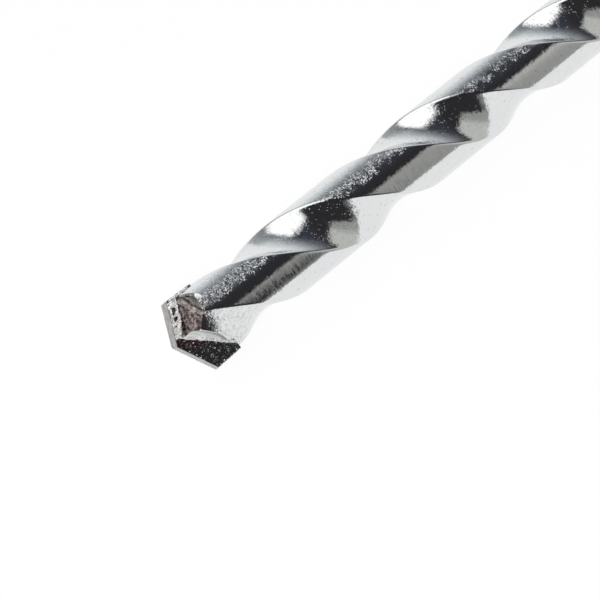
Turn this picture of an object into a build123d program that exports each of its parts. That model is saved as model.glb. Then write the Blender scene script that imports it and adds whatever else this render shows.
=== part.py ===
from build123d import *

import os
from math import cos, radians, sin, sqrt, tan

# A masonry drill bit: a fluted steel body with a plain round shank, and a carbide plate brazed into a slot
# across its point. It lies along X on the plane Z = 0, point towards -X, rolled about its axis as found.
# Everything is drawn in the bit's own frame, BIT: Z from the point to the shank, X along the plate's width
# and Y through the plate's thickness. But for the plate's shift the bit is the same after half a turn.

# Driving dimensions, in millimetres and degrees
cutting_diameter = 9.8  # over the corners of the plate, a little dulled
body_diameter = 9.1  # over the lands
shank_diameter = 8.7
overall_length = 120.0
rest_roll = 22.8  # of the plate's width above the horizontal, as the bit lies

# Flutes: two flat-floored channels, twisted to the right
fluted_length = 80.0
flute_pitch = 44.0
flute_angle = 92.6  # taken by one flute, seen from the axis
flute_start = 85.6  # from the plate's width to the middle of a flute, at the point
edge_break = 0.25  # width of the dulled edge between flute and land
run_out_radius = 30.0  # of the wheel's path where it leaves the steel

# Carbide plate
plate_thickness = 2.0
plate_height = 6.0  # from the chisel edge to its foot
plate_shift = -0.1  # it was brazed in a little off the axis
plate_taper = 2.0  # each side leans in towards the foot
plate_corner = 0.15  # radius down the outer edges
plate_foot_corner = 0.35  # radius at the foot
point_angle = 128.0
roof_relief = 5.0  # fall of the roof behind each cutting edge

# Braze around the plate, and its bead where the plate stands out of the steel
braze_gap = 0.08
bead_height = 0.2  # at the plate, behind the chisel edge
bead_slope = 77.0
bead_width = 1.0  # out from the plate
bead_start = 0.5  # just off the axis

# The ground end of the steel: height on the axis, rise outwards and rise away from the plate
cheek_height, cheek_rise, cheek_relief = 0.65, 22.3, 36.6
bevel_height, bevel_rise, bevel_relief = -2.85, 47.8, 53.5
gash_height, gash_rise, gash_lean = 1.15, 48.0, 22.0

# The plain shank, for a drill chuck
shoulder_start = 80.4
shoulder_length = 0.6
shank_chamfer = 0.8

# Worked out from the above
body_radius = body_diameter / 2
shank_radius = shank_diameter / 2
flute_floor = body_radius * cos(radians(flute_angle / 2))  # from the axis to the flat floor
half_floor = body_radius * sin(radians(flute_angle / 2))
slot_width = plate_thickness + 2 * braze_gap
slot_depth = plate_height + braze_gap
bead_reach = plate_thickness / 2 + bead_width
roof_slope = 90 - point_angle / 2

# How far the cutting shapes pass the steel
blank_start = 0.5  # the blank begins just outside its ground end
run_out_rise = 0.5  # of the wheel's path above the lands
outside = body_radius + 3.0
reach = 3 * body_diameter
lip_length = 4  # of the dulled edge's own width

BIT = Plane(
    origin=(-overall_length / 2, 0, body_radius),
    x_dir=(0, cos(radians(rest_roll)), sin(radians(rest_roll))),
    z_dir=(1, 0, 0),
)
AXIS = Axis(BIT.origin, BIT.z_dir)
PROFILE = Plane(BIT.origin, x_dir=BIT.z_dir, z_dir=BIT.y_dir)  # distance from the point, then from the axis


def in_bit(plane):
    """A plane given in the bit's frame, placed where the bit lies."""
    return Plane(BIT.location * plane.location)


def sloping(height, rise_x, rise_y):
    """The plane at this height on the axis that rises towards the shank by these angles along X and Y."""
    return in_bit(Plane(origin=(0, 0, height), z_dir=(-tan(radians(rise_x)), -tan(radians(rise_y)), 1)))


def both_sides(piece):
    """The piece and its copy half a turn round the axis."""
    return [piece, piece.rotate(AXIS, 180)]


cheek = sloping(cheek_height, cheek_rise, cheek_relief)
bevel = sloping(bevel_height, bevel_rise, bevel_relief)
gash = sloping(gash_height, -gash_rise, gash_lean)
bead = sloping(bead_height - tan(radians(bead_slope)) * plate_thickness / 2, roof_slope, bead_slope)

# One flute: its section, twisted along the body
turn = 360 * fluted_length / flute_pitch
with BuildSketch(in_bit(Plane.XY.rotated((0, 0, flute_start)))) as flute_section:
    with BuildLine():
        flat = (flute_floor, half_floor - edge_break)
        dulled = radians(flute_angle / 2) + edge_break / body_radius
        on_land = (body_radius * cos(dulled), body_radius * sin(dulled))
        lip = tuple(near + lip_length * (far - near) for near, far in zip(flat, on_land))
        half = Polyline((flute_floor, 0), flat, lip, (outside, lip[1]), (outside, 0))
        mirror(half, about=Plane.XZ)
    make_face()

# The wheel leaves the flute along an arc, so the floor climbs to the shank
climb = body_radius + run_out_rise - flute_floor
run_out_length = sqrt(run_out_radius**2 - (run_out_radius - climb) ** 2)
with BuildPart() as run_out:
    with BuildSketch(PROFILE):
        with BuildLine():
            start, top = fluted_length - run_out_length, flute_floor + climb
            arc = TangentArc((start, flute_floor), (fluted_length, top), tangent=(1, 0))
            Polyline(arc @ 1, (outside + fluted_length, top), (outside + fluted_length, 0), (start, 0), arc @ 0)
        make_face()
    revolve(axis=AXIS)

with BuildPart() as flute:
    add(
        Solid.extrude_linear_with_rotation(
            flute_section.sketch.face(), BIT.origin, BIT.z_dir * fluted_length, turn
        )
    )
    add(run_out.part, mode=Mode.SUBTRACT)

# What is ground off one side of the steel's end: cheek, bevel and gash, clear of the plate's slot
with BuildPart() as end_relief:
    for face_plane in (cheek, bevel, gash):
        with BuildSketch(face_plane):
            Rectangle(reach, reach)
        extrude(amount=-reach)
    split(bisect_by=in_bit(Plane.ZX.offset(slot_width / 2)), keep=Keep.TOP)

with BuildPart() as steel_body:
    with BuildSketch(PROFILE):
        with BuildLine():
            lands = Line((blank_start, body_radius), (shoulder_start, body_radius))
            shank = Line((shoulder_start + shoulder_length, shank_radius), (overall_length, shank_radius))
            Polyline(lands @ 1, shank @ 0)
            Polyline(shank @ 1, (overall_length, 0), (blank_start, 0), lands @ 0)
        make_face()
    revolve(axis=AXIS)
    chamfer(steel_body.edges().sort_by(AXIS)[-1], shank_chamfer)
    add(both_sides(flute.part), mode=Mode.SUBTRACT)
    add(both_sides(end_relief.part), mode=Mode.SUBTRACT)
    with BuildSketch(BIT):
        Rectangle(reach, slot_width)
    extrude(amount=slot_depth, mode=Mode.SUBTRACT)

with BuildPart() as carbide_tip:
    with BuildSketch(in_bit(Plane.XZ)) as carbide_outline:
        shoulder = cutting_diameter / 2 * tan(radians(roof_slope))
        foot = cutting_diameter / 2 - (plate_height - shoulder) * tan(radians(plate_taper))
        crown = cutting_diameter / 2 + shoulder * tan(radians(plate_taper))
        with Locations((plate_shift, 0)):
            Polygon((crown, 0), (foot, plate_height), (-foot, plate_height), (-crown, 0), align=None)
        fillet(carbide_outline.vertices().group_by(AXIS)[-1], plate_foot_corner)
    extrude(amount=plate_thickness / 2, both=True)
    fillet(carbide_tip.edges().filter_by(lambda e: abs(e.tangent_at(0.5).dot(BIT.z_dir)) > 0.9), plate_corner)
    for side in (1, -1):
        split(bisect_by=sloping(0, side * roof_slope, side * roof_relief), keep=Keep.TOP)

# The space left free beside the braze: above its bead on the cheek, and in the gash
with BuildPart() as braze_free:
    for face_plane in (bead, gash):
        with BuildSketch(face_plane):
            Rectangle(reach, reach)
        extrude(amount=-reach)
    split(bisect_by=in_bit(Plane.ZX.offset(plate_thickness / 2)), keep=Keep.TOP)

with BuildPart() as braze_joint:
    with BuildSketch(BIT.offset(blank_start)):
        Rectangle(reach, slot_width)
        for side in (1, -1):
            corners = [(bead_start, 0), (reach, 0), (reach, bead_reach), (bead_start, bead_reach)]
            Polygon(*[(side * x, side * y) for x, y in corners], align=None)
        Circle(body_radius, mode=Mode.INTERSECT)
    extrude(amount=slot_depth - blank_start)
    add(both_sides(braze_free.part), mode=Mode.SUBTRACT)
    add(both_sides(flute.part), mode=Mode.SUBTRACT)
    with BuildSketch(BIT):
        Rectangle(reach, plate_thickness)
    extrude(amount=plate_height, mode=Mode.SUBTRACT)
    add(steel_body.part, mode=Mode.SUBTRACT)

steel_body.part.label = "steel_body"
carbide_tip.part.label = "carbide_tip"
braze_joint.part.label = "braze_joint"

os.makedirs("parts", exist_ok=True)
export_step(steel_body.part, "parts/steel_body.step")
export_step(carbide_tip.part, "parts/carbide_tip.step")
export_step(braze_joint.part, "parts/braze_joint.step")
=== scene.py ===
"""The look of a masonry drill bit: its plated steel, carbide and braze, the studio and the camera."""

import math

import bmesh
import bpy
import numpy as np
from mathutils import Matrix, Vector, noise


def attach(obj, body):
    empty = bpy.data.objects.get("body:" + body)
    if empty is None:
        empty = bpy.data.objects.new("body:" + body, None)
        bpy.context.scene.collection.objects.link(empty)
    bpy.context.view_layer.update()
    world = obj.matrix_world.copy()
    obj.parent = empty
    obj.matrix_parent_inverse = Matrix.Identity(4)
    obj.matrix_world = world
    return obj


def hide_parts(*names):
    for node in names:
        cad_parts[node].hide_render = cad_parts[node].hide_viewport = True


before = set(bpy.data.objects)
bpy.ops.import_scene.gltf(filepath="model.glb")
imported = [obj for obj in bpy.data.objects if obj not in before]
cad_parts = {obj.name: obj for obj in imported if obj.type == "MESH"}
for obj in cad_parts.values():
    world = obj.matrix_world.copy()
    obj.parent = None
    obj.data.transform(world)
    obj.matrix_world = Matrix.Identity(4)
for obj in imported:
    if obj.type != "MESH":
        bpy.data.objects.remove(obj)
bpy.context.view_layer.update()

MM = 0.001


def tan_deg(angle):
    return math.tan(math.radians(angle))


# The bit's driving dimensions, in millimetres and degrees, as in its CAD source
body_diameter = 9.1
shank_diameter = 8.7
overall_length = 120.0
rest_roll = 22.8
fluted_length = 80.0
flute_pitch = 44.0
flute_angle = 92.6
flute_start = 85.6
edge_break = 0.25
run_out_radius = 30.0
run_out_rise = 0.5
shoulder_start = 80.4
shoulder_length = 0.6
shank_chamfer = 0.8
plate_thickness = 2.0
plate_height = 6.0
point_angle = 128.0
braze_gap = 0.08
cheek_height, cheek_rise, cheek_relief = 0.65, 22.3, 36.6
bevel_height, bevel_rise, bevel_relief = -2.85, 47.8, 53.5
gash_height, gash_rise, gash_lean = 1.15, 48.0, 22.0
bead_height, bead_slope, bead_start = 0.2, 77.0, 0.5

# The unevenness of the ground end: the size of its features, and how high they are on each plane
mottle_size, cheek_mottle, bevel_mottle = 0.32, 0.022, 0.02
wave_size, cheek_waves, gash_waves = 0.9, 0.02, 0.012
gash_swell, gash_swell_middle, gash_swell_width = 0.35, 1.9, 0.8

# The groove beside the crease between cheek and bevel, and the burr along it. Lengths across the crease
# are measured as the bevel's depth under the cheek.
groove_depth, groove_width = 0.14, 0.11
groove_off_crease, groove_most_off, groove_turn, groove_turn_middle = 0.2, 0.3, 0.24, 2.2
burr_height, burr_width, burr_before_groove = 0.12, 0.16, 0.24

# The rounded rim of the ground end. Angles are round the axis, from the plate's width.
rim_least_width, rim_extra_width, rim_widens = 0.2, 0.07, (40, 54)
rim_rounding, rim_least = 1.6, 0.1
rim_begins, rim_ends = (42, 47), (64, 58)

# Where the ground end has the burr's painted highlight, a darker strip on the cheek by the plate,
# painted shade in the groove and inside the rim, and a worn rim, and how ragged the outlines are
burr_middle, burr_half_width, crease_ragged = 0.22, 0.14, 0.05
darker_to, darker_ragged = 1.48, 0.2  # from the plate's middle, on the cheek
shade_inside_rim, rim_ragged = 0.1, 0.04
rim_shade_ends, worn_begins, angle_ragged = 54, 58, 3

# The braze bead: nearer the axis it is steeper than in the CAD
bead_thickness = 0.5
bead_even_from, bead_steepening = 2.8, 0.5
bead_swell = 0.08
bead_lumps = ((0.04, 2.2, (0, 0, 0)), (0.04, 6.0, (3, 1, 4)))  # height, lumps to a millimetre, seed

# Its pits, as places along and across it, sizes and depths. The first ones are painted black inside, as
# shade.
bead_pits = ((3.3, 0.05, 0.44, 0.3), (2.45, 0.1, 0.25, 0.3), (1.7, 0.1, 0.2, 0.1))
black_pits, black_to = 2, 0.8
pit_ragged, pit_narrowness = 0.35, 2.3
pit_edge_height, pit_edge_at, pit_edge_sharpness = 0.12, 1.3, 6

# The painted shade on its lower side begins this far from the plate: on the axis, more outwards, and at
# the most
bead_shade_on_axis, bead_shade_recedes, bead_shade_farthest, bead_shade_ragged = 0.085, 0.0725, 0.26, 0.03

# Worked out from the above
body_radius = body_diameter / 2
shank_radius = shank_diameter / 2
flute_floor = body_radius * math.cos(math.radians(flute_angle / 2))  # from the axis to the floor
half_floor = body_radius * math.sin(math.radians(flute_angle / 2))
run_out_climb = body_radius + run_out_rise - flute_floor
run_out_length = math.sqrt(run_out_radius**2 - (run_out_radius - run_out_climb) ** 2)
half_plate = plate_thickness / 2
slot_half = half_plate + braze_gap
slot_depth = plate_height + braze_gap
roof_slope = 90 - point_angle / 2
bead_outward = Vector((tan_deg(roof_slope), tan_deg(bead_slope), -1)).normalized()

# The bit's own frame, where meshes are made: Z runs from the point to the shank, X along the plate's
# width and Y through its thickness
roll = math.radians(rest_roll)
BIT = Matrix((
    (0, 0, 1, -overall_length / 2),
    (math.cos(roll), -math.sin(roll), 0, 0),
    (math.sin(roll), math.cos(roll), 0, body_radius),
    (0, 0, 0, 1),
))
PLACE = Matrix.Scale(MM, 4) @ BIT

# Kinds of face on the ground end, and their finishes
CHEEK, BEVEL, GASH, RIM, SOOT_AND_SHADE, LIT_BURR, WORN = range(7)
END_FINISHES = (
    "ground_cheek", "ground_bevel", "ground_gash", "plated_steel", "soot_and_painted_shade", "lit_burr", "worn_rim"
)


# Meshes


def grid_faces(rows, columns, closed=False):
    """Faces of a grid of points, row after row, whose columns may close into a loop."""
    faces = []
    for row in range(rows - 1):
        for column in range(columns if closed else columns - 1):
            right = (column + 1) % columns
            low, high = row * columns, (row + 1) * columns
            faces.append((low + column, low + right, high + right, high + column))
    return faces


def tube_faces(rows, columns):
    """Faces of a closed tube of points, ring after ring."""
    faces = grid_faces(rows, columns, closed=True)
    faces.append(tuple(range(columns - 1, -1, -1)))
    faces.append(tuple(range((rows - 1) * columns, rows * columns)))
    return faces


def slab_faces(rows, columns):
    """Faces of a closed slab: a grid of points, as many again on its other side, and its edge."""
    start = rows * columns
    faces = grid_faces(rows, columns)
    faces += [tuple(start + i for i in reversed(face)) for face in faces]
    ring = list(range(columns))
    ring += [row * columns + columns - 1 for row in range(1, rows)]
    ring += [(rows - 1) * columns + i for i in range(columns - 2, -1, -1)]
    ring += [row * columns for row in range(rows - 2, 0, -1)]
    for here, there in zip(ring, ring[1:] + ring[:1]):
        faces.append((there, here, start + here, start + there))
    return faces


def turned(points, half_turn):
    """The points, or their copies half a turn round the axis."""
    return [(-x, -y, z) for x, y, z in points] if half_turn else points


def link(name, data):
    """A new object in the scene."""
    thing = bpy.data.objects.new(name, data)
    bpy.context.scene.collection.objects.link(thing)
    return thing


def new_piece(name, points, faces, materials=()):
    """A piece from points in the bit's frame, in millimetres."""
    mesh = bpy.data.meshes.new(name)
    mesh.from_pydata(points, [], faces)
    mesh.transform(PLACE)
    for material in materials:
        mesh.materials.append(material)
    return link(name, mesh)


def cad_copy(name, node):
    """A piece with a copy of a CAD node's mesh, without materials."""
    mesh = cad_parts[node].data.copy()
    mesh.materials.clear()
    return link(name, mesh)


def apply_modifiers(piece):
    """Puts the result of the piece's modifiers in its mesh."""
    graph = bpy.context.evaluated_depsgraph_get()
    mesh = bpy.data.meshes.new_from_object(piece.evaluated_get(graph), depsgraph=graph)
    piece.modifiers.clear()
    piece.data = mesh


def cut(piece, tool):
    """Cuts the tool from the piece, and deletes the tool."""
    modifier = piece.modifiers.new("cut", "BOOLEAN")
    modifier.solver = "EXACT"
    modifier.material_mode = "TRANSFER"
    modifier.object = tool
    apply_modifiers(piece)
    bpy.data.objects.remove(tool)


def join(piece, added):
    """Adds another closed mesh to the piece's, and deletes the other object."""
    both = bmesh.new()
    for part in (piece, added):
        both.from_mesh(part.data)
    both.to_mesh(piece.data)
    both.free()
    bpy.data.objects.remove(added)


def smooth(piece, sharp_angle=28.0):
    """Smooth shading, with edges over this angle kept sharp."""
    piece.data.polygons.foreach_set("use_smooth", [True] * len(piece.data.polygons))
    piece.data.set_sharp_from_angle(angle=math.radians(sharp_angle))


# The steel body


def flute_section(floor_count=14, corner_count=6, land_count=15):
    """Points once round the section, as (angle from the first flute's middle, radius)."""
    dulled = math.radians(flute_angle / 2) + edge_break / body_radius
    flat_end = np.array((flute_floor, half_floor - edge_break))
    corner = np.array((flute_floor, half_floor))
    land_start = body_radius * np.array((math.cos(dulled), math.sin(dulled)))
    half = [(flute_floor, y) for y in np.linspace(0, flat_end[1], floor_count)]
    for t in np.linspace(0, 1, corner_count)[1:]:
        half.append(tuple((1 - t) ** 2 * flat_end + 2 * t * (1 - t) * corner + t * t * land_start))
    for angle in np.linspace(dulled, math.pi / 2, land_count)[1:]:
        half.append((body_radius * math.cos(angle), body_radius * math.sin(angle)))
    half = np.array(half)
    top = np.concatenate([half, half[-2::-1] * (-1, 1)])
    loop = np.concatenate([top, -top[1:-1]])
    return np.arctan2(loop[:, 1], loop[:, 0]), np.hypot(loop[:, 0], loop[:, 1])


def core_radius(z):
    """How far from the axis the wheel's path lies at this height: it climbs over the run-out."""
    past = min(max(0.0, z - (fluted_length - run_out_length)), run_out_length)
    return flute_floor + run_out_radius - math.sqrt(run_out_radius**2 - past**2)


def body_points(body_start=1.0, row_height=0.2, shank_rows=40):
    """Rows of points round the twisted body, from outside its ground end to the end of the shank."""
    angle, radius = flute_section()
    rows = []

    def add_row(z, radii):
        around = angle + math.radians(flute_start + 360 * z / flute_pitch)
        row = [radii * np.cos(around), radii * np.sin(around), np.full(len(angle), z)]
        rows.append(np.stack(row, 1))

    for z in np.arange(body_start, fluted_length + 0.01, row_height):
        add_row(z, np.minimum(np.maximum(radius, core_radius(z)), body_radius))
    chamfer_start = overall_length - shank_chamfer
    shank_start = shoulder_start + shoulder_length
    profile = [(shoulder_start, body_radius), (shank_start, shank_radius)]
    profile += [(z, shank_radius) for z in np.linspace(shank_start, chamfer_start, shank_rows)[1:]]
    profile += [(overall_length, shank_radius - shank_chamfer)]
    for z, shank in profile:
        add_row(z, np.full(len(angle), shank))
    return rows


def soft_max(values, softness=0.04):
    """The largest of the values, with the crease between them rounded."""
    values = np.array(values)
    top = values.max(0)
    return top + softness * np.log(np.exp((values - top) / softness).sum(0))


def smooth_step(value, start, end):
    """The value's way from start to end, eased, as 0 to 1."""
    share = np.clip((value - start) / (end - start), 0, 1)
    return share * share * (3 - 2 * share)


def bell(distance, width):
    """1 at no distance, and falling to nothing over about twice the width."""
    return np.exp(-((distance / width) ** 2))


def roughness_map(x, y, scale, seed):
    """Uneven height over the plane, between about -1 and 1, with features of this size."""
    dimension, lacunarity, octaves = 0.8, 2.1, 3
    shift = Vector((seed * 17.3, seed * 5.1, seed * 9.7))
    heights = [
        noise.fractal(Vector((u, v, 0)) + shift, dimension, lacunarity, octaves)
        for u, v in zip(x.ravel() / scale, y.ravel() / scale)
    ]
    return np.array(heights).reshape(x.shape)


def ground_plane(height, rise, relief, x, y):
    """Height of the plane that rises by these angles outwards along the plate and away from it."""
    return height + tan_deg(rise) * x + tan_deg(relief) * y


def past_groove(x, y):
    """How far a point lies past the groove beside the crease, towards the bevel."""
    steeper = tan_deg(bevel_rise) - tan_deg(cheek_rise)
    more_relief = tan_deg(bevel_relief) - tan_deg(cheek_relief)
    past_crease = bevel_height - cheek_height + (steeper * x + more_relief * y)
    off_crease = groove_off_crease - groove_turn * (y - groove_turn_middle)
    return past_crease - np.minimum(groove_most_off, off_crease)


def around_end(x, y):
    """The angle round the axis, from the plate's width."""
    return np.degrees(np.arctan2(y, x))


def rim_width(x, y):
    """The rounded edge is wider where the end is knocked the most."""
    return rim_least_width + rim_extra_width * smooth_step(around_end(x, y), *rim_widens)


def ground_heights(x, y):
    """Heights of cheek, bevel and gash over the plane, for the side where y is positive."""
    mottle = roughness_map(x, y, mottle_size, seed=1)
    waves = roughness_map(x, y, wave_size, seed=2)
    cheek = ground_plane(cheek_height, cheek_rise, cheek_relief, x, y)
    cheek = cheek + cheek_mottle * mottle + cheek_waves * waves
    bevel = ground_plane(bevel_height, bevel_rise, bevel_relief, x, y) + bevel_mottle * mottle
    gash = ground_plane(gash_height, -gash_rise, gash_lean, x, y) + gash_waves * waves
    gash += gash_swell * bell(y - gash_swell_middle, gash_swell_width)
    past = past_groove(x, y)
    lit_burr = burr_height * bell(past + burr_before_groove, burr_width)
    groove = groove_depth * bell(past, groove_width)
    around = around_end(x, y)
    width = rim_width(x, y)
    rim = width * (np.maximum(np.hypot(x, y) - body_radius + width, 0) / width) ** rim_rounding
    begun = rim_least + (1 - rim_least) * smooth_step(around, *rim_begins)
    rim *= smooth_step(around, *rim_ends) * begun
    return cheek - lit_burr + groove + rim, bevel - lit_burr + groove + rim, gash


def ground_kinds(x, y, kind):
    """Marks the burr's painted highlight, soot and painted shade, and the rim among the kinds of face,
    each with a ragged outline.
    """
    ground = kind != GASH
    ragged = roughness_map(x, y, scale=0.3, seed=5)
    past = past_groove(x, y) + crease_ragged * ragged
    inside = body_radius - np.hypot(x, y) + rim_ragged * ragged
    around = around_end(x, y) + angle_ragged * ragged
    width = rim_width(x, y)
    # Painted highlight: the burr beside the groove is coloured lighter
    kind[ground & (np.abs(past + burr_middle) < burr_half_width)] = LIT_BURR
    # Painted shade: the groove beside the crease is coloured dark
    kind[ground & (np.abs(past) < groove_width)] = SOOT_AND_SHADE
    # The cheek is coloured darker next to the plate
    kind[(kind == CHEEK) & (y < darker_to + darker_ragged * ragged)] = SOOT_AND_SHADE
    # Painted shade: a dark band just inside the rim
    kind[ground & (inside < width + shade_inside_rim) & (around < rim_shade_ends)] = SOOT_AND_SHADE
    kind[ground & (inside < width)] = WORN
    kind[ground & (inside < width) & (around < worn_begins)] = RIM
    return kind


def end_cutter(step=0.05, reach=5.6, below=0.2):
    """What is ground off the steel's end, with the plate's slot: points, faces and kinds of face."""
    columns = np.arange(-reach, reach + step / 2, step)
    side = np.arange(slot_half, reach + step / 2, step)
    x, y = np.meshgrid(columns, side)
    heights = np.array(ground_heights(x, y))
    height = soft_max(heights)
    kind = ground_kinds(x, y, heights.argmax(0))
    # The side half a turn round, the slot's two edges, and this side
    across = (1, len(columns))
    rows = [(-x[::-1, ::-1], -y[::-1, ::-1], height[::-1, ::-1])]
    for edge in (-slot_half, slot_half):
        rows.append((columns[None], np.full(across, edge), np.full(across, slot_depth)))
    rows.append((x, y, height))
    top = np.concatenate([np.stack(part, -1) for part in rows])
    kinds = np.concatenate([kind[::-1, ::-1], np.full((2, len(columns)), GASH), kind])
    bottom = top.copy()
    bottom[..., 2] = below
    points = np.concatenate([top.reshape(-1, 3), bottom.reshape(-1, 3)])
    faces = slab_faces(*kinds.shape)
    face_kinds = kinds[:-1, :-1].ravel().tolist()
    face_kinds += [CHEEK] * (len(faces) - len(face_kinds))
    return points, faces, face_kinds


def make_steel_body(finishes):
    """Flutes, shank and ground end."""
    rows = body_points()
    points = np.concatenate(rows)
    faces = tube_faces(len(rows), len(rows[0]))
    body = new_piece("drill_body", points.tolist(), faces, [finishes["plated_steel"]])
    points, faces, face_kinds = end_cutter()
    ground = [finishes[name] for name in END_FINISHES]
    cutter = new_piece("end_cutter", points.tolist(), faces, ground)
    cutter.data.polygons.foreach_set("material_index", face_kinds)
    cut(body, cutter)
    smooth(body)
    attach(body, "root")
    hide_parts("steel_body")


# The carbide plate


def chipped(point):
    """How far the plate's surface stands out at a point of the bit's frame: it is wavy and chipped."""
    wave_height, waves_to_mm, dimension, lacunarity, octaves = 0.006, 1.6, 0.9, 2.0, 3
    chip_depth, chips_to_mm, chip_threshold, seed = 0.02, 5.0, 0.35, (7, 3, 1)
    wave = noise.fractal(point * waves_to_mm, dimension, lacunarity, octaves)
    chip = noise.noise(point * chips_to_mm + Vector(seed))
    return wave_height * wave - chip_depth * max(0.0, chip - chip_threshold)


def make_plate(finishes, voxel=0.05):
    """The CAD solid, remeshed fine, with dulled and slightly uneven edges."""
    plate = cad_copy("carbide_plate", "carbide_tip")
    remesh = plate.modifiers.new("remesh", "REMESH")
    remesh.mode = "VOXEL"
    remesh.voxel_size = voxel * MM
    apply_modifiers(plate)
    mesh = plate.data
    to_bit = PLACE.inverted()
    turn = to_bit.to_3x3().normalized()
    points = np.empty(len(mesh.vertices) * 3)
    mesh.vertices.foreach_get("co", points)
    points = points.reshape(-1, 3)
    normals = np.array([vertex.normal for vertex in mesh.vertices])
    shift = np.array([chipped(to_bit @ Vector(point)) for point in points])
    points += normals * (shift * MM)[:, None]
    mesh.vertices.foreach_set("co", points.ravel())
    mesh.update()
    for name in ("carbide_side", "carbide_ground", "carbide_edge"):
        mesh.materials.append(finishes[name])
    side, ground, edge = range(3)
    faces_out, faces_forward = 0.5, -0.6
    for face in mesh.polygons:
        facing = turn @ face.normal
        if facing.z < faces_forward:
            face.material_index = ground
        else:
            face.material_index = edge if abs(facing.x) > faces_out else side
        face.use_smooth = True
    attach(plate, "root")
    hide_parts("carbide_tip")


# The braze


def bead_ragged(along, across, along_to_mm, across_to_mm, seed):
    """Unevenness over the bead, between about -1 and 1, with so many features to a millimetre."""
    return noise.noise(Vector((along * along_to_mm, across * across_to_mm, seed)))


def from_pit(pit, along, across):
    """How far a place on the bead is from a pit's middle, over the pit's ragged size."""
    pit_along, pit_across, size, _ = pit
    ragged = 1 + pit_ragged * bead_ragged(along, across, 4, 9, seed=2)
    return ragged * math.hypot(along - pit_along, (across - pit_across) * pit_narrowness) / size


def bead_surface(along, across):
    """A point on the lumpy bead: along the plate's width, and out from the plate."""
    nearer = max(0.0, (bead_even_from - along) / (bead_even_from - bead_start))
    slope = tan_deg(bead_slope) * (1 + bead_steepening * nearer)
    height = bead_height + tan_deg(roof_slope) * along + slope * across
    point = Vector((along, half_plate + across, height))
    swell = bead_swell
    for lump_height, lumps_to_mm, seed in bead_lumps:
        swell += lump_height * noise.noise(point * lumps_to_mm + Vector(seed))
    for pit in bead_pits:
        apart = from_pit(pit, along, across)
        depth = pit[-1] * math.exp(-apart**4)
        swell += pit_edge_height * math.exp(-(apart - pit_edge_at) ** 2 * pit_edge_sharpness) - depth
    return point + bead_outward * swell


def painted_black(along, across):
    """Whether the bead is painted black here, as shade: down its lower side and in its larger pits."""
    ragged = bead_ragged(along, across, 5, 20, seed=7)
    if across + bead_shade_ragged * ragged > min(bead_shade_farthest, bead_shade_on_axis + bead_shade_recedes * along):
        return True
    nearest = min(from_pit(pit, along, across) for pit in bead_pits[:black_pits])
    left_unpainted = ragged <= -0.3
    return nearest < black_to and not left_unpainted


def bead_tool(half_turn, along_count=130, across_count=40):
    """One lumpy bead, as a closed mesh that reaches down into the steel."""
    behind_plate_face, bead_foot, inside_land = 0.03, 0.6, 0.02
    top, under, black = [], [], []
    for across in np.linspace(-behind_plate_face, bead_foot, across_count):
        y = half_plate + across
        far = math.sqrt(body_radius**2 - y * y) - inside_land
        for along in np.linspace(bead_start, far, along_count):
            point = bead_surface(along, max(across, 0))
            under.append(point - bead_outward * bead_thickness)
            point.y = max(point.y, half_plate - behind_plate_face)
            top.append(point)
            black.append(painted_black(along, across))
    points = turned([tuple(point) for point in top + under], half_turn)
    tool = new_piece("bead_tool", points, slab_faces(across_count, along_count))
    for face in tool.data.polygons:
        first = face.vertices[0]
        # Faces painted black as shade take the second finish
        face.material_index = int(first < len(top) and black[first])
    return tool


def lumpy_tube(name, start, end, out, size, seed, half_turn, rings=120, ring_points=16):
    """A lumpy run of braze between two points of the bit's frame, thinner at its ends."""
    lump_share, lumps_to_mm, bump_height, bumps_to_mm = 0.8, 2.1, 0.09, 5.0
    tapers, start_share, end_share = 6, 0.2, 0.3
    start, end, out = Vector(start), Vector(end), Vector(out)
    up = (end - start).normalized().cross(out)
    points = []
    for ring in range(rings):
        share = ring / (rings - 1)
        spine = start.lerp(end, share)
        lumps = lump_share * noise.noise(spine * lumps_to_mm + Vector((seed, 2, 5)))
        full = min(1.0, tapers * share + start_share, tapers * (1 - share) + end_share)
        radius = size * (1 + lumps) * full
        for turn in range(ring_points):
            angle = 2 * math.pi * turn / ring_points
            point = spine + radius * (math.cos(angle) * out + math.sin(angle) * up)
            points.append(tuple(point + out * bump_height * noise.noise(point * bumps_to_mm)))
    return new_piece(name, turned(points, half_turn), tube_faces(rings, ring_points))


def ridge_tool(half_turn):
    """The braze left in the corner between gash and plate."""
    inner, outer, off_plate = 0.95, -4.2, 0.06
    y = half_plate + off_plate
    ends = [(x, y, ground_plane(gash_height, -gash_rise, gash_lean, x, y)) for x in (inner, outer)]
    return lumpy_tube("ridge_tool", *ends, (0, 1, 0), size=0.23, seed=9, half_turn=half_turn)


def smear_tool(half_turn):
    """The braze that ran out between the land and the plate's outer edge."""
    off_plate = 0.02
    y = half_plate + off_plate
    start, end = (body_radius, y, 2.55), (4.5, y, 5.5)
    return lumpy_tube("smear_tool", start, end, (1, 0, 0), size=0.14, seed=4, half_turn=half_turn)


def trim_tool(soot_and_painted_shade, half_turn):
    """A block that holds one of the CAD part's beads, all but the layer that lines the slot."""
    before, past, out, side = -1, 8, 4, 6
    points = [(x, y, z) for z in (before, past) for y in (slot_half, out) for x in (-side, side)]
    faces = [(0, 2, 3, 1), (4, 5, 7, 6), (0, 1, 5, 4), (2, 6, 7, 3), (0, 4, 6, 2), (1, 3, 7, 5)]
    return new_piece("trim_tool", turned(points, half_turn), faces, [soot_and_painted_shade])


def make_braze(finishes):
    """The layer that lines the slot, with a bead, a ridge and a smear on each side of the plate."""
    joint = cad_copy("braze_bead", "braze_joint")
    for name in ("braze", "soot_and_painted_shade"):
        joint.data.materials.append(finishes[name])
    for half_turn in (False, True):
        cut(joint, trim_tool(finishes["soot_and_painted_shade"], half_turn))
    for half_turn in (False, True):
        for make in (bead_tool, ridge_tool, smear_tool):
            join(joint, make(half_turn))
    smooth(joint, sharp_angle=50)
    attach(joint, "root")
    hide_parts("braze_joint")


# Materials


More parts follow.
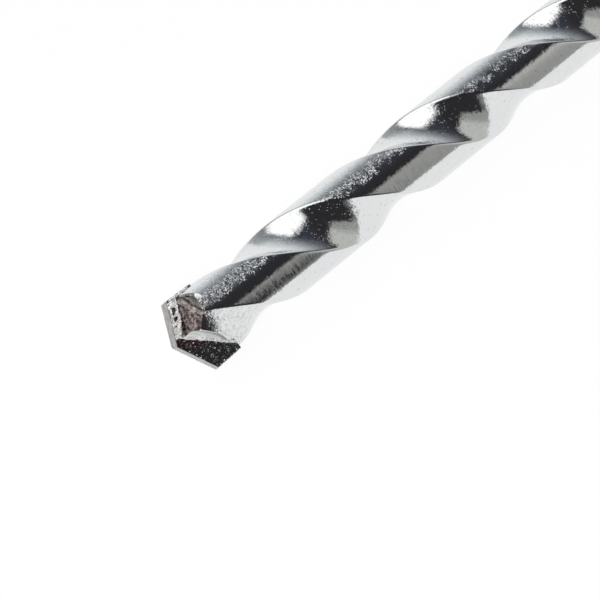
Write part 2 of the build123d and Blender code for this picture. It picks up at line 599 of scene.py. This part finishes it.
class Nodes:
    """Adds nodes to a tree. Inputs are given by name or number, as values or other nodes' outputs."""

    def __init__(self, owner):
        owner.use_nodes = True
        self.tree = owner.node_tree
        self.tree.nodes.clear()

    def node(self, kind, inputs, **settings):
        node = self.tree.nodes.new("ShaderNode" + kind)
        for name, value in settings.items():
            setattr(node, name, value)
        for key, value in inputs.items():
            if isinstance(value, bpy.types.NodeSocket):
                self.tree.links.new(value, node.inputs[key])
            else:
                node.inputs[key].default_value = value
        return node

    def add(self, kind, inputs=None, output=0, **settings):
        """One output of a new node."""
        return self.node(kind, inputs or {}, **settings).outputs[output]

    def math(self, operation, first, second=0.0, third=0.0):
        return self.add("Math", {0: first, 1: second, 2: third}, operation=operation)

    def product(self, first, *others):
        for other in others:
            first = self.math("MULTIPLY", first, other)
        return first

    def total(self, first, *others):
        for other in others:
            first = self.math("ADD", first, other)
        return first

    def vector_math(self, operation, first, second=(0, 0, 0), output=0):
        return self.add("VectorMath", {0: first, 1: second}, output, operation=operation)

    def split(self, vector):
        """The vector's three parts."""
        return self.node("SeparateXYZ", {0: vector}).outputs

    def mix_color(self, share, first, second):
        return self.add("Mix", {0: share, 6: first, 7: second}, 2, data_type="RGBA")

    def fade(self, value, start, end, low=0.0, high=1.0):
        """The value's way from start to end, eased, as low to high."""
        limits = {"From Min": start, "From Max": end, "To Min": low, "To Max": high}
        return self.add("MapRange", {"Value": value, **limits}, interpolation_type="SMOOTHSTEP")

    def noise(self, vector, scale, detail=2.0, rough=0.5, output=0):
        inputs = {"Vector": vector, "Scale": scale, "Detail": detail, "Roughness": rough}
        return self.add("TexNoise", inputs, output)

    def scaled(self, vector, scale):
        return self.add("Mapping", {"Vector": vector, "Scale": scale})

    def bump(self, height):
        """The normal, bent by a height in millimetres."""
        return self.add("Bump", {"Strength": 1.0, "Distance": MM, "Height": height})

    def finish(self, kind, surface):
        output = self.tree.nodes.new("ShaderNodeOutput" + kind)
        self.tree.links.new(surface, output.inputs["Surface"])


def metal(name, paint):
    """A material whose colour, metallic share, roughness and normal paint gives for a point."""
    material = bpy.data.materials.new(name)
    n = Nodes(material)
    color, metallic, rough, normal = paint(n, object_point(n))
    inputs = {"Base Color": color, "Metallic": metallic, "Roughness": rough, "Normal": normal}
    n.finish("Material", n.add("BsdfPrincipled", inputs))
    return material


def rgb(red, green, blue):
    return (red, green, blue, 1.0)


def grey(level):
    return rgb(level, level, level)


def object_point(n):
    """The point on the piece, in millimetres."""
    return n.scaled(n.add("TexCoord", output="Object"), (1 / MM,) * 3)


def in_bit_frame(n, point):
    """The point as (from the tip, along the plate's width, through its thickness), in millimetres."""
    shift = (overall_length / 2, -body_radius * math.sin(roll), -body_radius * math.cos(roll))
    place = n.add("Mapping", {"Vector": point, "Rotation": (-roll, 0, 0), "Location": shift})
    return n.split(place)


def from_axis(n, point):
    """How far the point is from the bit's axis, in millimetres."""
    off_axis = n.vector_math("SUBTRACT", point, (0, 0, body_radius))
    return n.vector_math("LENGTH", n.vector_math("MULTIPLY", off_axis, (0, 1, 1)), output="Value")


def faceted(n, point, scale, lean, base):
    """The normal, leaned at random over facets: this many to a millimetre, by up to half of lean."""
    facet = n.add("TexVoronoi", {"Vector": point, "Scale": scale}, "Color")
    offset = n.vector_math("SUBTRACT", facet, (0.5, 0.5, 0.5))
    offset = n.add("VectorMath", {0: offset, 3: lean}, operation="SCALE")
    return n.vector_math("NORMALIZE", n.vector_math("ADD", base, offset))


def specks(n, point, scale, size, share):
    """1 in round spots, in this share of the cells that there are to a millimetre, elsewhere 0."""
    cells = n.node("TexVoronoi", {"Vector": point, "Scale": scale})
    picked = n.math("LESS_THAN", n.add("SeparateColor", {0: cells.outputs["Color"]}), share)
    return n.product(picked, n.fade(cells.outputs["Distance"], size, size * 0.6))


def plating(n, point):
    """Bright plating over a ground surface, with the lands tumbled and speckled.

    Places are the part's own x and y, in millimetres: the tip is at x = -60, and y runs across the bit.
    """
    x, y, _ = n.split(point)
    land = n.fade(from_axis(n, point), body_radius - 0.15, body_radius - 0.03)
    flute = n.fade(land, 1, 0)
    patchy = n.noise(point, scale=0.9, detail=3.0, rough=0.6)
    worn = n.product(
        land, n.fade(y, -1.6, -0.5), n.fade(y, 1.3, 0.3, 0.2, 1), n.fade(x, -48, -54, 1, 0.85)
    )

    # Normal: grinding lines and dents, then facets, which lean the most on the worn lands, then pits
    line_height = n.fade(land, 0, 1, 0.008, 0.011)
    dent_height = 0.01
    lines = n.noise(n.scaled(point, (7.0, 0.35, 0.35)), scale=1.0, rough=0.6)
    dents = n.noise(point, scale=1.1)
    normal = n.bump(n.total(n.product(lines, line_height), n.product(dents, dent_height)))
    worn_lean, tip_lean = 0.27, 0.13
    near_tip = n.product(n.fade(x, -50, -55), flute)
    lean = n.total(
        n.fade(land, 0, 1, 0.07, 0.05), n.product(worn, worn_lean), n.product(near_tip, tip_lean)
    )
    lean = n.product(lean, n.fade(patchy, 0.36, 0.64, 0.4, 1.7))
    normal = faceted(n, n.scaled(point, (15.0, 8.0, 8.0)), 1.0, lean, normal)
    pits = specks(n, point, scale=6.0, size=0.28, share=0.6)
    pits = n.product(pits, n.fade(land, 0, 1, 1.2, 0.2), n.fade(patchy, 0.4, 0.55))
    normal = faceted(n, point, 6.0, pits, normal)

    # Colour: plating, stains, grime in the flutes near the tip, and a painted dark reflection in a band
    # along the lands
    stain_edges = n.fade(n.noise(point, scale=4.0, detail=3.0, rough=0.7), 0.5, 0.7)
    stain = n.product(specks(n, point, scale=1.7, size=0.4, share=0.3), stain_edges)
    color = n.mix_color(dents, rgb(0.76, 0.77, 0.78), rgb(0.72, 0.73, 0.73))
    color = n.mix_color(stain, color, rgb(0.35, 0.35, 0.34))
    grime_patches = n.fade(n.noise(point, scale=2.2, detail=5.0, rough=0.75), 0.45, 0.65, 0, 0.5)
    grime = n.product(n.fade(x, -45, -53), flute, grime_patches)
    color = n.mix_color(grime, color, rgb(0.4, 0.4, 0.39))
    # Painted dark reflection: the tops of the lands are darkened in colour where they mirror the dark
    # room, most of all near the tip
    painted_dark_band = n.product(
        n.fade(x, -40, -49, 0.35, 1),
        land,
        n.fade(y, -0.5, 0.2),
        n.fade(y, 1.4, 0.6),
        n.fade(n.noise(point, scale=5.0), 0.55, 0.4, 0.4, 0.95),
    )
    color = n.mix_color(painted_dark_band, color, rgb(0.12, 0.135, 0.165))

    dull = n.product(worn, n.fade(x, -42, -50, 0.01, 0.13))
    rough = n.total(n.fade(dents, 0.35, 0.65, 0.05, 0.1), dull)
    return color, 1.0, rough, normal


def clean_corners(n, point, color):
    """The plate's side is stained red near the axis only."""
    along = n.math("ABSOLUTE", in_bit_frame(n, point)[1])
    return n.mix_color(n.fade(along, 1.3, 2.9), color, rgb(0.5, 0.54, 0.53))


def gash_painted_lip_light(n, point, color):
    """Painted shade as a dull streak along the gash's edge with the flute, and a painted highlight as a
    bright line on the edge.
    """
    z, x, y = in_bit_frame(n, point)
    middle = n.math("MULTIPLY_ADD", z, 2 * math.pi / flute_pitch, math.radians(flute_start))
    around = n.math("SUBTRACT", n.math("ARCTAN2", y, x), middle)
    reach = n.product(from_axis(n, point), n.math("COSINE", around))
    inside = n.math("SUBTRACT", flute_floor, n.math("ABSOLUTE", reach))
    # Painted shade: a dark streak beside the gash's edge, where its lip would be shaded
    painted_lip_shade = n.product(n.fade(inside, 0.22, 0.34), n.fade(inside, 0.8, 0.45, 0, 0.9))
    color = n.mix_color(painted_lip_shade, color, rgb(0.3, 0.31, 0.3))
    # Painted highlight: a white line on the edge itself
    return n.mix_color(n.fade(inside, 0.3, 0.15), color, grey(1.0))


def rough_metal(
    name, dark, light, metallic, rough, patches, wave, facets, lean,
    grain=(1, 1, 1), spots=0.0, stain=(0.4, 0.6), tint=None,
):
    """A metal at the point, stained dark and light in patches.

    There are this many patches and facets to a millimetre. The patches are raised by wave, in
    millimetres, and stretched by grain. Spots is the share of cells that are pitted, stain how sharply
    dark turns to light, and tint a change to the colour.
    """
    spot_scale, spot_size, spot_lean, swirl_scale, swirl_reach = 4.0, 0.45, 2.2, 2.2, 0.7

    def paint(n, point):
        bit_point = n.add("Mapping", {"Vector": point, "Rotation": (-roll, 0, 0)})
        patchy = n.noise(n.scaled(bit_point, grain), patches, detail=4.0, rough=0.65)
        normal = faceted(n, point, facets, lean, n.bump(n.product(patchy, wave)))
        if spots:
            swirl = n.noise(point, swirl_scale, detail=3.0, output="Color")
            swirl = n.vector_math("MULTIPLY", swirl, (swirl_reach,) * 3)
            warped = n.vector_math("ADD", point, swirl)
            pits = n.product(specks(n, warped, spot_scale, spot_size, spots), spot_lean)
            normal = faceted(n, warped, spot_scale, pits, normal)
        color = n.mix_color(n.fade(patchy, *stain), rgb(*dark), rgb(*light))
        if tint:
            color = tint(n, point, color)
        return color, metallic, rough, normal

    return metal(name, paint)


ROUGH_METALS = {
    "ground_cheek": dict(
        dark=(0.12, 0.075, 0.07), light=(0.52, 0.44, 0.43), metallic=1, rough=0.25,
        patches=2.0, wave=0.05, facets=7.0, lean=0.4,
    ),
    "ground_bevel": dict(
        dark=(0.36, 0.325, 0.31), light=(0.76, 0.71, 0.69), metallic=1, rough=0.2,
        patches=1.5, wave=0.03, facets=7.0, lean=0.15,
    ),
    # Lighter than the cheek: a painted highlight along the burr
    "lit_burr": dict(
        dark=(0.3, 0.25, 0.235), light=(0.6, 0.54, 0.51), metallic=0.8, rough=0.3,
        patches=2.0, wave=0.03, facets=7.0, lean=0.1,
    ),
    # Dark: soot, and painted shade in the groove, inside the rim and on the bead
    "soot_and_painted_shade": dict(
        dark=(0.022, 0.018, 0.016), light=(0.2, 0.165, 0.145), metallic=0.7, rough=0.4,
        patches=2.6, wave=0.02, facets=7.0, lean=0.2,
    ),
    "worn_rim": dict(
        dark=(0.15, 0.12, 0.11), light=(0.8, 0.77, 0.75), metallic=1, rough=0.2,
        patches=3.0, wave=0.04, facets=6.0, lean=1.2,
    ),
    "ground_gash": dict(
        dark=(0.75, 0.78, 0.77), light=(0.95, 0.97, 0.96), metallic=0.2, rough=0.4,
        patches=0.9, wave=0.03, facets=5.0, lean=0.1, tint=gash_painted_lip_light,
    ),
    "carbide_side": dict(
        dark=(0.42, 0.265, 0.29), light=(0.55, 0.56, 0.56), metallic=1, rough=0.15,
        patches=1.2, wave=0.05, facets=6.0, lean=0.2, spots=0.3, stain=(0.45, 0.65),
        tint=clean_corners,
    ),
    "carbide_ground": dict(
        dark=(0.25, 0.237, 0.233), light=(0.42, 0.42, 0.41), metallic=1, rough=0.3,
        patches=3.0, wave=0.008, facets=6.0, lean=0.06, grain=(1, 0.2, 1),
    ),
    "carbide_edge": dict(
        dark=(0.2, 0.195, 0.19), light=(0.84, 0.82, 0.81), metallic=0.3, rough=0.4,
        patches=2.5, wave=0.03, facets=5.0, lean=0.2,
    ),
    "braze": dict(
        dark=(0.3, 0.3, 0.28), light=(0.97, 0.96, 0.94), metallic=0.5, rough=0.25,
        patches=2.6, wave=0.045, facets=5.0, lean=0.2, stain=(0.36, 0.42),
    ),
}


# Studio


def lamp_share(n, direction, azimuth, elevation, half_width, half_height, tilt, soft):
    """How much of this direction a rounded, soft-edged lamp fills, from 0 to 1. Sizes are in degrees."""
    azimuth, elevation, tilt = map(math.radians, (azimuth, elevation, tilt))
    level = math.cos(elevation)
    toward = Vector((math.cos(azimuth) * level, math.sin(azimuth) * level, math.sin(elevation)))
    level_right = Vector((-math.sin(azimuth), math.cos(azimuth), 0))
    level_up = toward.cross(level_right)
    right = level_right * math.cos(tilt) + level_up * math.sin(tilt)
    up = level_up * math.cos(tilt) - level_right * math.sin(tilt)
    ahead = n.vector_math("DOT_PRODUCT", direction, toward, "Value")
    depth = n.math("MAXIMUM", ahead, 0.01)
    squareness, total = 4.0, 0.0
    for side, half in ((right, half_width), (up, half_height)):
        offset = n.math("DIVIDE", n.vector_math("DOT_PRODUCT", direction, side, "Value"), depth)
        share = n.math("DIVIDE", n.math("ABSOLUTE", offset), tan_deg(half))
        total = n.total(n.math("POWER", share, squareness), total)
    inside = n.fade(n.math("POWER", total, 1 / squareness), 1 + soft, 1 - soft)
    return n.product(inside, n.math("GREATER_THAN", ahead, 0.02))


def make_world():
    """A dark room with a hazy far side, two lamps overhead and a white floor that runs on for ever.

    Seen directly it is white. Azimuths, from +X towards +Y, and elevations are in degrees.
    """
    world = bpy.data.worlds.new("studio")
    bpy.context.scene.world = world
    n = Nodes(world)
    direction = n.add("TexCoord", output="Generated")
    x, y, z = n.split(direction)
    elevation = n.math("DEGREES", n.math("ARCSINE", z))
    azimuth = n.math("DEGREES", n.math("ARCTAN2", y, x))

    # The dark room, with a glow low down on the near side and haze on the far one
    room = n.mix_color(n.fade(y, -0.3, 0.4), rgb(0.030, 0.028, 0.031), rgb(0.046, 0.053, 0.067))
    glow = n.product(n.fade(elevation, 13.8, -2.0, 0, 0.7), n.fade(azimuth, -5, -12))
    room = n.mix_color(glow, room, grey(0.45))
    haze = n.product(
        n.fade(elevation, 52.4, -7.0),
        n.fade(azimuth, -11.3, 48.3),
        n.fade(azimuth, 68, 88.1, 1.0, 0.513),
        n.fade(azimuth, 125, 180, 1.0, 0.3),
    )
    room = n.mix_color(haze, room, rgb(0.91, 0.95, 0.97))

    # The lamps, and the floor below the horizon
    lamp = lamp_share(
        n, direction, azimuth=111.0, elevation=61.8, half_width=22.3, half_height=31.1,
        tilt=-53.9, soft=0.2,
    )
    room = n.mix_color(n.product(lamp, n.fade(elevation, 10, 30)), room, grey(1.4))
    left_lamp = lamp_share(
        n, direction, azimuth=172, elevation=47, half_width=20, half_height=14, tilt=0, soft=0.4
    )
    room = n.mix_color(left_lamp, room, grey(1.3))
    room = n.mix_color(n.fade(elevation, 0.3, -0.3), room, grey(1.0))

    light = n.add("Background", {"Color": room, "Strength": 1.0})
    white = n.add("Background", {"Color": grey(1.0), "Strength": 1.0})
    seen_directly = n.add("LightPath", output="Is Camera Ray")
    n.finish("World", n.add("MixShader", {0: seen_directly, 1: light, 2: white}))


def stage_sheet(name, corners, material):
    """A four-sided sheet of the studio, from its corners in millimetres."""
    mesh = bpy.data.meshes.new(name)
    mesh.from_pydata([Vector(corner) * MM for corner in corners], [], [(0, 1, 2, 3)])
    mesh.materials.append(material)
    sheet = link(name, mesh)
    return sheet


def make_card():
    """A grey card to the right of the camera, which the lands mirror as a clean band."""
    material = bpy.data.materials.new("card")
    n = Nodes(material)
    level = n.fade(n.split(object_point(n))[0], 165, 225, 0.36, 0.6)
    n.finish("Material", n.add("Emission", {"Color": rgb(0.99, 1.0, 0.95), "Strength": level}))
    corners = [(105, -345, 0), (355, -56, 0), (355, -56, 353), (105, -345, 422)]
    card = stage_sheet("card", corners, material)
    for ray in ("camera", "diffuse", "transmission", "shadow", "volume_scatter"):
        setattr(card, "visible_" + ray, False)


def make_floor(half_side=4000):
    """White and lit from below, so that it fills the picture, with the bit's faint shadow on it."""
    material = bpy.data.materials.new("floor")
    n = Nodes(material)
    shadowed = n.add("BsdfDiffuse", {"Color": grey(0.1)})
    white = n.add("Emission", {"Color": grey(1.0), "Strength": 0.92})
    n.finish("Material", n.add("AddShader", {0: shadowed, 1: white}))
    corners = [(x * half_side, y * half_side, 0) for x, y in ((-1, -1), (1, -1), (1, 1), (-1, 1))]
    stage_sheet("floor", corners, material)


def make_light():
    """A soft light for the rough surfaces, not mirrored in the bright ones. Its places are in metres."""
    data = bpy.data.lights.new("soft_light", "AREA")
    data.size = 0.25
    data.energy = 1.4
    light = link("soft_light", data)
    light.location = (-0.3, -0.2, 0.4)
    near_tip = Vector((-0.055, 0, 0))
    aim = near_tip - light.location
    light.rotation_euler = aim.to_track_quat("-Z", "Y").to_euler()
    light.visible_glossy = False


def make_camera():
    """The photograph's viewpoint, from its fitted perspective."""
    data = bpy.data.cameras.new("camera")
    data.sensor_width = 36.0
    data.lens = 137.57
    data.clip_start = 0.01
    data.clip_end = 20.0
    camera = link("camera", data)
    camera.location = Vector((-136.47, -102.52, 235.97)) * MM
    camera.rotation_euler = [math.radians(angle) for angle in (29.967, 0, -43.214)]
    bpy.context.scene.camera = camera


make_camera()
make_world()
make_floor()
make_card()
make_light()

finishes = {"plated_steel": metal("plated_steel", plating)}
for name, look in ROUGH_METALS.items():
    finishes[name] = rough_metal(name, **look)

make_steel_body(finishes)
make_plate(finishes)
make_braze(finishes)

bpy.context.scene.view_settings.view_transform = "Standard"
